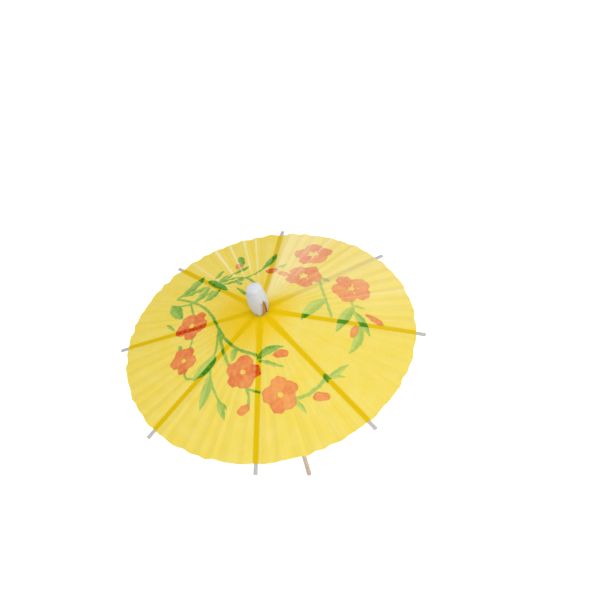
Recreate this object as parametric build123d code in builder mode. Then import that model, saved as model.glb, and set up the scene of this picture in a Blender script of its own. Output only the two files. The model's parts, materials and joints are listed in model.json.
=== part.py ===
"""Cocktail umbrella pick: a folding paper parasol on a wooden stick.

The stick stands on the Z axis with its blunt lower end at the origin and the cap on top.
The canopy is drawn open. Each rib turns down on a crease in the cap, and its strut turns
on creases at the rib and at the runner, which slides down the stick as the parasol folds.
"""

import os
from math import atan2, cos, degrees, hypot, radians, sin, tan

from build123d import *

# Canopy
rib_count = 8
open_angle = 72.0  # rib from the stick's downward direction when open
canopy_slant = 50.0  # radius of the paper disc, along the ribs
paper_thickness = 0.1
pleat_height = 0.7  # ridge above valley at the rim
pleats_per_side = 3  # whole pleats between a rib and a seam
rib_landing = 1.4  # half width of the flat strip of paper over a rib at the rim
seam_clearance = 0.02  # from a gore's edge to the seam's middle
glue_film = 0.02

# Card strips
card_thickness = 0.4
rib_width = 1.6
strut_width = 1.4
crease_width = 1.1  # strips are cut narrower where they crease
crease_clearance = 0.03
neck_length = 1.0  # from the crease to where the strip starts to widen
flare_length = 4.0  # over which it widens
tip_overhang = 2.9  # rib tip past the paper's edge
tip_width = 1.15
tip_taper = 3.0  # over which the rib narrows, up to the paper's edge
strut_seat = 22.0  # from the rib's crease to the strut's crease, along the rib
flap_length = 5.0
flap_setback = 0.15  # from the strut's crease to the flap's end
tab_length = 6.0

# Stick
stick_length = 100.0
stick_diameter = 1.7
shank_diameter = 1.6
shank_length = 34.0  # slim lower part, to push into fruit
shank_taper = 10.0
end_bevel = 0.15
hub_depth = 6.6  # rib creases below the stick's upper end

# Rolled paper round the stick
roll_clearance = 0.02  # wound tight on the stick
slide_clearance = 0.08  # free to slide on the stick
binding_clearance = 0.05  # between a roll and the strips bound on it
spacer_wall = 0.45
runner_length = 8.0  # below the strut creases
runner_neck = 0.8  # above the strut creases
stop_gap = 0.1  # runner to spacer when open
wrap_wall = 0.3
wrap_setback = 0.35  # from a crease to the edge of its wrap

# Cap
cap_height = 12.0
cap_bulge = 0.85  # greatest swell past the cap's lower edge
cap_bulge_height = 5.5
shoulder_radius = 2.45  # where the side turns over into the crown
shoulder_drop = 1.9  # shoulder below the top
slit_height = 5.4
slit_width = 1.2
slit_azimuth = -30.0

# Retaining ring
ring_height = 2.5
ring_wall = 0.8
ring_edge = 0.2
ring_gap = 0.05  # under the runner

# Linkage in a rib's own radial plane
hinge_height = stick_length - hub_depth
pitch = 360.0 / rib_count
half_pitch = radians(pitch / 2)
half_card = card_thickness / 2
slope = radians(open_angle)
bound_radius = crease_width / 2 / tan(half_pitch) + binding_clearance
hinge_radius = bound_radius + half_card
hub_distance = hinge_radius / sin(slope)
rib_length = canopy_slant + tip_overhang - hub_distance
strut_drop = 2 * card_thickness  # strut crease below the rib's middle
strut_length = hypot(strut_seat, strut_drop)
link_angle = slope - atan2(strut_drop, strut_seat)
runner_height = hinge_height - 2 * strut_length * cos(link_angle)

# Radii round the stick
stick_radius = stick_diameter / 2
core_radius = bound_radius - binding_clearance
tab_reach = hypot(hinge_radius + half_card, crease_width / 2)
wrap_bore = tab_reach + crease_clearance
wrap_radius = wrap_bore + wrap_wall
cap_base = hinge_height + wrap_setback
tab_offset = half_card + crease_clearance


def azimuth(index):
    """Direction of a rib round the stick, in degrees."""
    return index * pitch


def radial_plane(angle):
    """Upright plane through the stick: x is the distance from the axis and y is the height."""
    turn = radians(angle)
    return Plane(origin=(0, 0, 0), x_dir=(cos(turn), sin(turn), 0), z_dir=(sin(turn), -cos(turn), 0))


def strip_plane(angle, radius, height, lean):
    """Side of a card strip: x runs along the strip, which leans from straight down by lean."""
    upright = radial_plane(angle)
    along = upright.x_dir * sin(lean) - Vector(0, 0, cos(lean))
    start = upright.x_dir * radius + Vector(0, 0, height)
    return Plane(origin=start, x_dir=along, z_dir=upright.z_dir)


def plan_plane(side):
    """Face of the same strip: x still runs along it and y is across it."""
    return Plane(origin=side.origin, x_dir=side.x_dir, z_dir=side.y_dir)


def strip_outline(length, width, end_width, flat_end, taper):
    """Strip in plan: narrow at its crease, full width along it, and end_width over its flat far end."""
    narrow, wide, slim = crease_width / 2, width / 2, end_width / 2
    start = [(-card_thickness, narrow), (neck_length, narrow), (neck_length + flare_length, wide)]
    end = [(length - flat_end - taper, wide), (length - flat_end, slim), (length + card_thickness, slim)]
    upper = start + end
    lower = [(x, -y) for x, y in reversed(upper)]
    return upper + lower


def make_rib(index):
    """Card rib: round at its crease in the cap, slim and square at its tip."""
    side = strip_plane(azimuth(index), hinge_radius, hinge_height, slope)
    outline = strip_outline(rib_length, rib_width, tip_width, tip_overhang, tip_taper)
    with BuildPart() as rib:
        with BuildSketch(side):
            Circle(half_card)
            Rectangle(rib_length, card_thickness, align=(Align.MIN, Align.CENTER))
        extrude(amount=rib_width / 2, both=True)
        with BuildSketch(plan_plane(side)):
            with BuildLine():
                Polyline(*outline, close=True)
            make_face()
        extrude(amount=card_thickness, both=True, mode=Mode.INTERSECT)
    return rib


def make_strut(index):
    """Card strut from its crease under the rib to its crease at the runner, round at both."""
    across = hinge_radius + strut_length * sin(link_angle)
    height = hinge_height - strut_length * cos(link_angle)
    side = strip_plane(azimuth(index), across, height, -link_angle)
    outline = strip_outline(strut_length, strut_width, crease_width, neck_length, flare_length)
    with BuildPart() as strut:
        with BuildSketch(side):
            with Locations((strut_length / 2, 0)):
                SlotCenterToCenter(strut_length, card_thickness)
        extrude(amount=strut_width / 2, both=True)
        with BuildSketch(plan_plane(side)):
            with BuildLine():
                Polyline(*outline, close=True)
            make_face()
        extrude(amount=card_thickness, both=True, mode=Mode.INTERSECT)
    return strut


def make_flap(index):
    """End of the strut's card, glued flat under the rib on the hub side of the crease."""
    side = strip_plane(azimuth(index), hinge_radius, hinge_height, slope)
    with BuildPart() as flap:
        with BuildSketch(side):
            with Locations((strut_seat - flap_setback, -half_card)):
                Rectangle(flap_length, card_thickness, align=(Align.MAX, Align.MAX))
        extrude(amount=strut_width / 2, both=True)
    return flap


def fold_lines():
    """Fold lines of the pleats from one seam of a gore to the other.

    Each is a slope across and a slope down from the canopy's apex, per unit of distance along
    the rib's level direction, so that every fold runs straight out from the stick.
    """
    rim_radius = canopy_slant * sin(slope)
    landing = atan2(rib_landing, rim_radius)
    fold = (half_pitch - landing) / (2 * pleats_per_side + 1)
    fall = 1 / tan(slope)
    right = [(rib_landing / rim_radius, -fall)]
    for step in range(1, 2 * pleats_per_side + 2):
        turn = landing + step * fold
        ridge = pleat_height / rim_radius if step % 2 else 0
        right.append((tan(turn), ridge - fall / cos(turn)))
    return [(-across, rise) for across, rise in reversed(right)] + right


def make_gore(index):
    """Pleated paper glued along one rib and ending at the seams midway to the next ribs.

    Each flat of the pleats is drawn on its own plane and given the paper's thickness downwards.
    """
    rim_radius = canopy_slant * sin(slope)
    inner_radius = (wrap_bore + wrap_radius) / 2
    rise = (half_card + glue_film + paper_thickness) / sin(slope)
    apex = Vector(0, 0, hinge_height + hinge_radius / tan(slope) + rise)
    upright = radial_plane(azimuth(index))
    near, far = inner_radius / 2, rim_radius + pleat_height
    reach = 2 * rim_radius
    seam_start = seam_clearance / sin(half_pitch)
    seam_end = (reach - seam_start) * tan(half_pitch)
    with BuildPart() as gore:
        lines = [upright.x_dir - upright.z_dir * x + Vector(0, 0, y) for x, y in fold_lines()]
        for first, second in zip(lines, lines[1:]):
            flat = Plane(origin=apex, x_dir=first, z_dir=first.cross(second))
            corners = [first * near, first * far, second * far, second * near]
            with BuildSketch(flat):
                with BuildLine():
                    Polyline(*[flat.to_local_coords(apex + corner) for corner in corners], close=True)
                make_face()
            extrude(amount=paper_thickness / sin(slope), dir=(0, 0, -1))
        with BuildSketch(Plane(origin=(0, 0, 0), x_dir=upright.x_dir, z_dir=(0, 0, 1))):
            with BuildLine():
                Polyline((seam_start, 0), (reach, -seam_end), (reach, seam_end), close=True)
            make_face()
            Circle(rim_radius, mode=Mode.INTERSECT)
            Circle(inner_radius, mode=Mode.SUBTRACT)
        extrude(amount=2 * stick_length, mode=Mode.INTERSECT)
    return gore


def make_tabs(height, direction):
    """Bound ends of the creased strips, standing round the stick above or below their creases."""
    with BuildPart() as tabs:
        for index in range(rib_count):
            with BuildSketch(radial_plane(azimuth(index))):
                with Locations((hinge_radius, height + direction * (tab_offset + tab_length / 2))):
                    Rectangle(card_thickness, tab_length)
            extrude(amount=crease_width / 2, both=True)
    return tabs


def make_roll(bore, radius, low, high):
    """Paper rolled into a tube round the stick."""
    with BuildPart() as roll:
        with BuildSketch(Plane.XY.offset(low)):
            Circle(radius)
            Circle(bore, mode=Mode.SUBTRACT)
        extrude(amount=high - low)
    return roll


os.makedirs("parts", exist_ok=True)


def keep(piece, name):
    """Label a finished piece and write it."""
    piece.part.label = name
    export_step(piece.part, f"parts/{name}.step")


# Stick: slim shank below, full thickness where the paper is wound on
with BuildPart() as pick_stick:
    with BuildSketch(Plane.XZ):
        with BuildLine():
            Polyline(
                (0, 0),
                (shank_diameter / 2 - end_bevel, 0),
                (shank_diameter / 2, end_bevel),
                (shank_diameter / 2, shank_length),
                (stick_radius, shank_length + shank_taper),
                (stick_radius, stick_length - end_bevel),
                (stick_radius - end_bevel, stick_length),
                (0, stick_length),
                close=True,
            )
        make_face()
    revolve(axis=Axis.Z)
keep(pick_stick, "pick_stick")

# Cap: white paper wound round the rib ends and turned over at the top in a round crown
tab_top = hinge_height + tab_offset + tab_length
crown_radius = (shoulder_radius**2 + shoulder_drop**2) / (2 * shoulder_drop)
crown_centre = cap_base + cap_height - crown_radius
shoulder_turn = degrees(atan2(crown_radius - shoulder_drop, shoulder_radius))
with BuildPart() as cap_wrap:
    with BuildSketch(Plane.XZ):
        with BuildLine():
            base = (wrap_radius, cap_base)
            bulge = (wrap_radius + cap_bulge, cap_base + cap_bulge_height)
            shoulder = (shoulder_radius, cap_base + cap_height - shoulder_drop)
            top = (0, cap_base + cap_height)
            Line((0, cap_base), base)
            ThreePointArc(base, bulge, shoulder)
            CenterArc((0, crown_centre), crown_radius, shoulder_turn, 90 - shoulder_turn)
            Line(top, (0, cap_base))
        make_face()
    revolve(axis=Axis.Z)
    with BuildSketch(Plane.XY.offset(cap_base)):
        Circle(wrap_bore)
    extrude(amount=tab_top + binding_clearance - cap_base, mode=Mode.SUBTRACT)
    with BuildSketch(Plane.XY.offset(cap_base)):
        Circle(stick_radius + roll_clearance)
    extrude(amount=stick_length + roll_clearance - cap_base, mode=Mode.SUBTRACT)
    slit_side = radial_plane(slit_azimuth)
    slit_face = Plane(origin=(0, 0, cap_base), x_dir=-slit_side.z_dir, z_dir=slit_side.x_dir)
    with BuildSketch(slit_face):
        with BuildLine():
            Polyline((-slit_width / 2, 0), (slit_width / 2, 0), (0, slit_height), close=True)
        make_face()
    extrude(amount=2 * wrap_radius, mode=Mode.SUBTRACT)
keep(cap_wrap, "cap_wrap")

# Rolled core and bound rib ends inside the cap
cap_core = make_roll(stick_radius + roll_clearance, core_radius, hinge_height - half_card, tab_top)
keep(cap_core, "cap_core")
keep(make_tabs(hinge_height, 1), "rib_tabs")

# Spacer between the cap's core and the runner
spacer_sleeve = make_roll(
    stick_radius + roll_clearance,
    stick_radius + roll_clearance + spacer_wall,
    runner_height + runner_neck + stop_gap,
    hinge_height - half_card,
)
keep(spacer_sleeve, "spacer_sleeve")

# Runner: sliding core, bound strut ends and the wrap round them
runner_core = make_roll(
    stick_radius + slide_clearance, core_radius, runner_height - runner_length, runner_height + runner_neck
)
keep(runner_core, "runner_core")
keep(make_tabs(runner_height, -1), "strut_tabs")
runner_wrap = make_roll(
    wrap_bore, wrap_radius, runner_height - runner_length, runner_height - wrap_setback
)
keep(runner_wrap, "runner_wrap")

# Plastic ring that holds the runner up
ring_top = runner_height - runner_length - ring_gap
retaining_bore = stick_radius + roll_clearance
with BuildPart() as retaining_ring:
    with BuildSketch(Plane.XY.offset(ring_top - ring_height)):
        Circle(retaining_bore + ring_wall)
        Circle(retaining_bore, mode=Mode.SUBTRACT)
    extrude(amount=ring_height)
    chamfer(retaining_ring.edges().filter_by(GeomType.CIRCLE), ring_edge)
keep(retaining_ring, "retaining_ring")

# Ribs with their paper, and the struts under them
for number in range(1, rib_count + 1):
    keep(make_rib(number - 1), f"rib_{number}")
    keep(make_gore(number - 1), f"canopy_gore_{number}")
    keep(make_flap(number - 1), f"strut_flap_{number}")
    keep(make_strut(number - 1), f"strut_{number}")

print("crease circle", round(hinge_radius, 4), "rib creases at", hinge_height)
print("strut creases at", round(runner_height, 4), "strut", round(strut_length, 4))
print("link angle", round(degrees(link_angle), 4))
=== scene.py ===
"""Looks of a cocktail umbrella pick: printed tissue canopy, wound paper cap, card linkage and birch pick.

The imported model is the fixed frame. The tissue and the wound papers are modelled here in place of their CAD
solids, and every other node keeps its CAD shape and gets its finish here. Sizes are in millimetres, and MM
turns them into the frame's metres. Azimuths run from rib 1 on +X towards rib 3 on +Y.
"""

import json
import logging
from dataclasses import dataclass, field
from enum import Enum
from math import acos, atan2, cos, exp, hypot, pi, radians, sin, tan, tau

import bmesh
import bpy
import numpy as np
from bmesh.types import BMesh
from bpy.types import Material, NodeSocket, NodeTree, Object
from mathutils import Matrix, Vector


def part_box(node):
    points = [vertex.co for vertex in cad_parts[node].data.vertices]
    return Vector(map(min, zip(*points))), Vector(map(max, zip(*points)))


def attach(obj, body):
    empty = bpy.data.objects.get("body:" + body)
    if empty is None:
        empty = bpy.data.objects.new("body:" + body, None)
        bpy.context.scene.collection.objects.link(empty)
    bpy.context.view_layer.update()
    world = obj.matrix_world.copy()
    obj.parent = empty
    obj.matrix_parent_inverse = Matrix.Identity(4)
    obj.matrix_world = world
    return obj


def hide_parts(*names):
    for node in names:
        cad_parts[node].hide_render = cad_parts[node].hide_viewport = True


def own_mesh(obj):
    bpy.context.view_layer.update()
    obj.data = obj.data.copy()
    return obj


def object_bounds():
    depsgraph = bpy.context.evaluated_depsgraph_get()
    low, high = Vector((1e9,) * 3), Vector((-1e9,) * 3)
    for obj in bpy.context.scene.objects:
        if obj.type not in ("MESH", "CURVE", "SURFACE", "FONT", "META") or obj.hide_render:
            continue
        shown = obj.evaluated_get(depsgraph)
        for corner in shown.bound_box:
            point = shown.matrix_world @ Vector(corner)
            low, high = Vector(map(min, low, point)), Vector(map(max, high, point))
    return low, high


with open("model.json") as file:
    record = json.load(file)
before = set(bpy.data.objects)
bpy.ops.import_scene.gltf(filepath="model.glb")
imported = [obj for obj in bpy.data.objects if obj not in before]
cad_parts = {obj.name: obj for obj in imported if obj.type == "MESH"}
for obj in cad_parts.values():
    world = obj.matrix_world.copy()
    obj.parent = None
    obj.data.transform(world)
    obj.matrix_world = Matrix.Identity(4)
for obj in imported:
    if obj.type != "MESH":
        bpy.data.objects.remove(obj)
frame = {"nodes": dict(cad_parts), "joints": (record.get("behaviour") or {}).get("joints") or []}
cad_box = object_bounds()

Array = np.ndarray
Pair = tuple[float, float]
Rows = tuple[tuple[float, ...], ...]

MM = 0.001
RIBS = 8
MERGE = 0.001  # points closer than this are one
SPAN = ("Value", "From Min", "From Max", "To Min", "To Max")  # inputs that turn one range into another
WAVE_TURN = tau / 20  # scale of the wave texture at which a ring is one unit wide
SLEEVE_GAP = 0.02  # between the stick and the newsprint
WRAP_GAP = 0.11  # between the struts' ends and their wrap
log = logging.getLogger("umbrella")


class Mark(Enum):
    """Measures kept on a paper's points for its finish to read."""

    RIB_GAP = "rib_gap"  # distance from the nearest rib's middle line
    REACH = "reach"  # distance from the apex along the paper, scaled so that the hub's deeper colour reaches further on the slack side
    CREASE = "crease"  # strength of the painted highlight on the nearest ridge
    VALLEY = "valley"  # how strongly painted shade darkens the nearest valley
    STREAK = "streak"  # crepe of the paper, which runs out from the hub
    PETAL = "petal"  # distance inside the printed petals and buds
    HEART = "heart"  # distance inside the blossoms' hearts
    FOLIAGE = "foliage"  # distance inside the printed leaves and stems
    TONE = "tone"  # lighter or deeper printing
    WASH = "wash"  # strength of the painted glare that pales the paper and its print
    STAIN_AND_SHADOW = "stain_and_shadow"  # glue on a wrap's slit lips, and painted shadow of gaps at its lower edge


TISSUE_MARKS = [m for m in Mark if m is not Mark.STAIN_AND_SHADOW]


class PaperSide(Enum):
    """Side of the tissue that a finish is for."""

    FACE = "face"
    BACK = "back"


class GorePart(Enum):
    """Part of a gore, with the side of the rib that it is on."""

    RIGHT = -1
    GLUED = 0
    LEFT = 1


def linear(colour: str) -> tuple[float, float, float, float]:
    """Turn an sRGB hex colour into the linear colour that a shader takes.

    Args:
        colour: Six hex digits after a hash sign.

    Returns:
        Red, green, blue and an alpha of one.
    """
    channels = [int(colour[i : i + 2], 16) / 255 for i in (1, 3, 5)]
    red, green, blue = (c / 12.92 if c <= 0.04045 else ((c + 0.055) / 1.055) ** 2.4 for c in channels)
    return red, green, blue, 1.0


def per_metre(size: float) -> float:
    """Texture scale at which one feature of a pattern is size millimetres wide."""
    return 1 / (size * MM)


def add_node(
    tree: NodeTree, kind: str, inputs: dict | None = None, out: int | str = 0, **settings: str
) -> NodeSocket | None:
    """Add one shader node with its settings and links.

    Args:
        tree: Node tree of a material.
        kind: Blender's name for the kind of node, after the word ShaderNode.
        inputs: Socket names or numbers, each with a value, a hex colour or the socket that feeds it.
        out: Name or number of the output that is wanted.
        settings: Properties of the node itself.

    Returns:
        That output, or None from a node that has no outputs.
    """
    made = tree.nodes.new(f"ShaderNode{kind}")
    for name, value in settings.items():
        setattr(made, name, value)
    for name, value in (inputs or {}).items():
        if isinstance(value, NodeSocket):
            tree.links.new(value, made.inputs[name])
        else:
            made.inputs[name].default_value = linear(value) if isinstance(value, str) else value
    return made.outputs[out] if made.outputs else None


def blank_material(name: str) -> tuple[Material, NodeTree]:
    """Start a material with an empty node tree.

    Args:
        name: Common name of the stuff.

    Returns:
        The material and its tree.
    """
    material = bpy.data.materials.new(name)
    material.use_nodes = True
    material.node_tree.nodes.clear()
    return material, material.node_tree


def fibre_bump(
    tree: NodeTree,
    place: NodeSocket,
    size: float,
    depth: float,
    strength: float,
    under: NodeSocket | None = None,
) -> NodeSocket:
    """Relief of matted paper fibres.

    Args:
        tree: Node tree of a material.
        place: Coordinates in metres.
        size: Width of a clump of fibres.
        depth: Height of the relief.
        strength: Share of the relief that shows.
        under: Normal of a coarser relief that this one lies on.

    Returns:
        The bumped normal.
    """
    fibres = add_node(tree, "TexNoise", {"Vector": place, "Scale": per_metre(size), "Detail": 4.0})
    relief = {"Height": fibres, "Distance": depth * MM, "Strength": strength}
    if under:
        relief["Normal"] = under
    return add_node(tree, "Bump", relief)


def layered(
    tree: NodeTree, base: NodeSocket | str, coats: list[tuple], blend: str = "MIX"
) -> NodeSocket | str:
    """Lay coats of colour over a base, one after the other.

    Args:
        tree: Node tree of a material.
        base: Colour at the bottom.
        coats: Share and colour of each coat.
        blend: Blender's name for the way that the coats mix.

    Returns:
        The colour on top.
    """
    for share, colour in coats:
        inputs = {0: share, 6: base, 7: colour}  # factor, colour A and colour B
        base = add_node(tree, "Mix", inputs, 2, data_type="RGBA", blend_type=blend)
    return base


def bell(off: Array, width: float | Array) -> Array:
    """Smooth swell that is one in the middle and fades over a width on each side."""
    return np.exp(-((off / width) ** 2))


def ripple(azimuth: Array, waves: Rows) -> Array:
    """Sum of waves round the stick, each with its height, count and phase."""
    return sum(height * np.sin(count * azimuth + phase) for height, count, phase in waves)


def from_nearest(value: Array, pitch: float) -> Array:
    """Signed distance from the nearest multiple of a pitch."""
    return (value + pitch / 2) % pitch - pitch / 2


def lathe(outline: list[Pair], steps: int, angle: float = tau) -> BMesh:
    """Turn an outline round the stick, and close it where it comes full round.

    Args:
        outline: Radii and heights.
        steps: Faces round the stick.
        angle: How far it turns from +X.

    Returns:
        The turned surface.
    """
    made = bmesh.new()
    chain = [made.verts.new((radius * MM, 0, height * MM)) for radius, height in outline]
    geom = chain + [made.edges.new(pair) for pair in zip(chain, chain[1:])]
    whole = angle == tau
    turn = {"angle": angle, "steps": steps, "use_merge": whole}
    bmesh.ops.spin(made, geom=geom, cent=(0, 0, 0), axis=(0, 0, 1), **turn)
    if whole:
        bmesh.ops.remove_doubles(made, verts=made.verts, dist=MERGE * MM)
    return made


def link(made: Object) -> Object:
    """Link a new object to the scene and give it back."""
    bpy.context.scene.collection.objects.link(made)
    return made


def make_piece(
    made: BMesh,
    name: str,
    finishes: list[Material],
    wall: float = 0.0,
    body: str = "",
    node: str = "",
) -> Object:
    """Turn a finished mesh into an object of the scene, and say what it belongs to.

    Args:
        made: The mesh, which is freed.
        name: Name of the piece.
        finishes: Its materials.
        wall: Thickness that an open surface gets, inwards.
        body: Body that carries it.
        node: CAD node that it replaces.

    Returns:
        The object.
    """
    mesh = bpy.data.meshes.new(name)
    made.to_mesh(mesh)
    made.free()
    mesh.shade_smooth()
    for finish in finishes:
        mesh.materials.append(finish)
    piece = link(bpy.data.objects.new(name, mesh))
    if wall:
        paper = piece.modifiers.new("paper", "SOLIDIFY")
        paper.thickness = wall * MM
        paper.offset = -1.0
    if body:
        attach(piece, body)
    if node:
        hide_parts(node)
    log.info("made %s", name)
    return piece


@dataclass(frozen=True)
class TissueFinish:
    """Dyed tissue paper with a block print.

    Thin soft paper scatters some of its light through, so it glows against a bright table and looks deeper
    where glue and card lie behind it. Its colour also has painted shade over the ribs, near the hub and in
    the pleats' valleys, painted highlights on the ridges and painted glare on one side. Water inks soak in,
    with soft wavering edges.
    """

    side: PaperSide
    dye: str = "#F2E061"
    faded: str = "#F3E68A"
    # Glue with painted shade: deeper yellow over the ribs and near the hub.
    glued: str = "#F3D000"
    # Painted highlight on the pleats' ridges.
    pressed: str = "#FAF0C8"
    # Painted glare: paler paper on one side of the canopy.
    painted_glare: str = "#FCF3C6"
    petal: str = "#F4B06C"
    petal_deep: str = "#E87C50"
    petal_edge: str = "#E2764A"
    # Petal ink under glue with painted shade, over a rib.
    petal_glued_and_shaded: str = "#E03A12"
    # Petal ink under the painted glare.
    petal_painted_glare: str = "#FBDFD2"
    leaf: str = "#CBDB78"
    leaf_deep: str = "#5DAC46"
    # Leaf ink under glue with painted shade, over a rib.
    leaf_glued_and_shaded: str = "#2C961E"
    mottle: float = 5.0
    fade_span: Pair = (0.25, 0.85)  # of the mottle, from dyed to faded
    fade_share: float = 0.8
    crumple: float = 2.2
    crumple_depth: float = 0.12
    clump: float = 0.35
    clump_depth: float = 0.03
    ink_waver: float = 0.9
    ink_soft: float = 0.14
    ink_blot: float = 1.3
    blot_span: Pair = (0.35, 0.6)  # of the blots, from thin ink to full
    thin_ink: float = 0.78
    edge_span: Pair = (0.5, 0.1)  # distance inside a petal, from plain to deep
    edge_share: float = 0.5
    # Painted shade in the pleats' valleys.
    valley_shade_share: float = 0.45
    band_half: float = 0.86
    band_soft: float = 0.14
    hub_inner: float = 4.0
    hub_outer: float = 15.0
    # Glue with painted shade of the card on a rib, and gathered paper with painted shade near the hub.
    glued_and_shaded_share: float = 1.0
    gathered_and_shaded_share: float = 0.85
    ink_glare_share: float = 0.7  # painted glare pales the inks less than the dye
    full_glare: float = 0.4  # painted glare that leaves the least of a rib to see
    glared_depth: float = 0.15  # and what it leaves
    ink_highlight_share: float = 0.7  # share of the painted highlight that a ridge lays over the ink
    glow: float = 0.3
    strike_through: float = 0.4
    roughness: float = 0.75
    shine: float = 0.12

    def cover(self, tree: NodeTree, inside: NodeSocket, waver: NodeSocket, full: NodeSocket) -> NodeSocket:
        """Share of the paper that an ink covers.

        Args:
            tree: Node tree of the material.
            inside: Distance inside the printed shape.
            waver: Distance by which the ink bleeds past it or falls short.
            full: Share that it covers well inside the shape.

        Returns:
            Zero outside the shape and the full share inside it.
        """
        bled = add_node(tree, "Math", {0: inside, 1: waver}, operation="ADD")
        limits = {"Value": bled, "From Min": -self.ink_soft, "From Max": self.ink_soft, "To Max": full}
        return add_node(tree, "MapRange", limits, interpolation_type="SMOOTHSTEP")

    def depth(self, tree: NodeTree, mark: dict[Mark, NodeSocket], waver: NodeSocket) -> NodeSocket:
        """How far glue, gathered paper and painted shade deepen the paper's colour.

        Args:
            tree: Node tree of the material.
            mark: Measures on the paper's points.
            waver: Small uneven distance that roughens the edge of a rib's deeper band.

        Returns:
            Zero on free paper, more where it is gathered at the hub, and most on a rib.
        """
        # A rib's band is glue and painted shade of the card; near the hub, gathered paper and painted shade.
        gap = add_node(tree, "Math", {0: mark[Mark.RIB_GAP], 1: waver}, operation="ADD")
        edges = self.band_half + self.band_soft, self.band_half - self.band_soft
        spans = (
            (gap, *edges, 0.0, self.glued_and_shaded_share),
            (mark[Mark.REACH], self.hub_outer, self.hub_inner, 0.0, self.gathered_and_shaded_share),
        )
        limits = [dict(zip(SPAN, span)) for span in spans]
        band, hub = (add_node(tree, "MapRange", limit, interpolation_type="SMOOTHSTEP") for limit in limits)
        deep = add_node(tree, "Math", {0: band, 1: hub}, operation="MAXIMUM")
        # Painted shade in the pleats' valleys.
        shaded_valleys = add_node(tree, "Math", {0: mark[Mark.VALLEY], 1: self.valley_shade_share}, operation="MULTIPLY")
        deep = add_node(tree, "Math", {0: deep, 1: shaded_valleys}, operation="MAXIMUM")
        # Painted glare leaves less of the deeper colour to see.
        wash = (mark[Mark.WASH], 0.0, self.full_glare, 1.0, self.glared_depth)
        lit = add_node(tree, "MapRange", dict(zip(SPAN, wash)))
        return add_node(tree, "Math", {0: deep, 1: lit}, operation="MULTIPLY")

    def material(self) -> Material:
        """Build the paper's material.

        Returns:
            The material, which reads the measures on the paper's points.
        """
        material, tree = blank_material(f"dyed_tissue_{self.side.value}")
        place = add_node(tree, "TexCoord", out="Object")
        mark = {m: add_node(tree, "Attribute", out="Fac", attribute_name=m.value) for m in TISSUE_MARKS}
        mottle, ragged, blots = (
            add_node(tree, "TexNoise", {"Vector": place, "Scale": per_metre(size), "Detail": detail})
            for size, detail in ((self.mottle, 2.0), (self.ink_waver, 2.0), (self.ink_blot, 3.0))
        )
        crepe = add_node(tree, "Math", {0: mottle, 1: mark[Mark.STREAK]}, operation="ADD")
        soaked = 1.0 if self.side is PaperSide.FACE else self.strike_through
        spans = (
            (ragged, 0.0, 1.0, -self.ink_soft, self.ink_soft),
            (crepe, *self.fade_span, 0.0, self.fade_share),
            (blots, *self.blot_span, self.thin_ink * soaked, soaked),
            (mark[Mark.PETAL], *self.edge_span, 0.0, self.edge_share),
        )
        waver, uneven, full, edge = (add_node(tree, "MapRange", dict(zip(SPAN, span))) for span in spans)
        # Painted glare on the inks, and painted highlights that the ridges lay over them.
        kept, inked_highlight = (
            add_node(tree, "Math", {0: mark[m], 1: share}, operation="MULTIPLY")
            for m, share in ((Mark.WASH, self.ink_glare_share), (Mark.CREASE, self.ink_highlight_share))
        )
        # Paper: random mottle, painted highlights on the ridges and painted glare.
        paper = [(uneven, self.faded), (mark[Mark.CREASE], self.pressed), (mark[Mark.WASH], self.painted_glare)]
        petal = [(mark[Mark.TONE], self.petal_deep), (edge, self.petal_edge), (kept, self.petal_painted_glare)]
        leaf = [(mark[Mark.TONE], self.leaf_deep), (kept, self.painted_glare)]
        # The face also gets glue and painted shade over the ribs and near the hub.
        if self.side is PaperSide.FACE:
            deep = self.depth(tree, mark, waver)
            paper.append((deep, self.glued))
            petal.append((deep, self.petal_glued_and_shaded))
            leaf.append((deep, self.leaf_glued_and_shaded))
        bare = layered(tree, self.dye, paper)
        inks = {
            Mark.FOLIAGE: layered(tree, self.leaf, leaf),
            Mark.PETAL: layered(tree, self.petal, petal),
            Mark.HEART: bare,
        }
        coats = [(self.cover(tree, mark[m], waver, full), ink) for m, ink in inks.items()]
        # Painted highlights on the ridges lie over the print too.
        printed = layered(tree, bare, [*coats, (inked_highlight, self.pressed)])
        normal = fibre_bump(tree, place, self.crumple, self.crumple_depth, 0.5)
        normal = fibre_bump(tree, place, self.clump, self.clump_depth, 0.4, normal)
        shine = {"Roughness": self.roughness, "Specular IOR Level": self.shine}
        skin = add_node(tree, "BsdfPrincipled", {"Base Color": printed, "Normal": normal, **shine})
        through = add_node(tree, "BsdfTranslucent", {"Color": printed, "Normal": normal})
        both = add_node(tree, "MixShader", {0: self.glow, 1: skin, 2: through})
        add_node(tree, "OutputMaterial", {"Surface": both})
        return material


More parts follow.
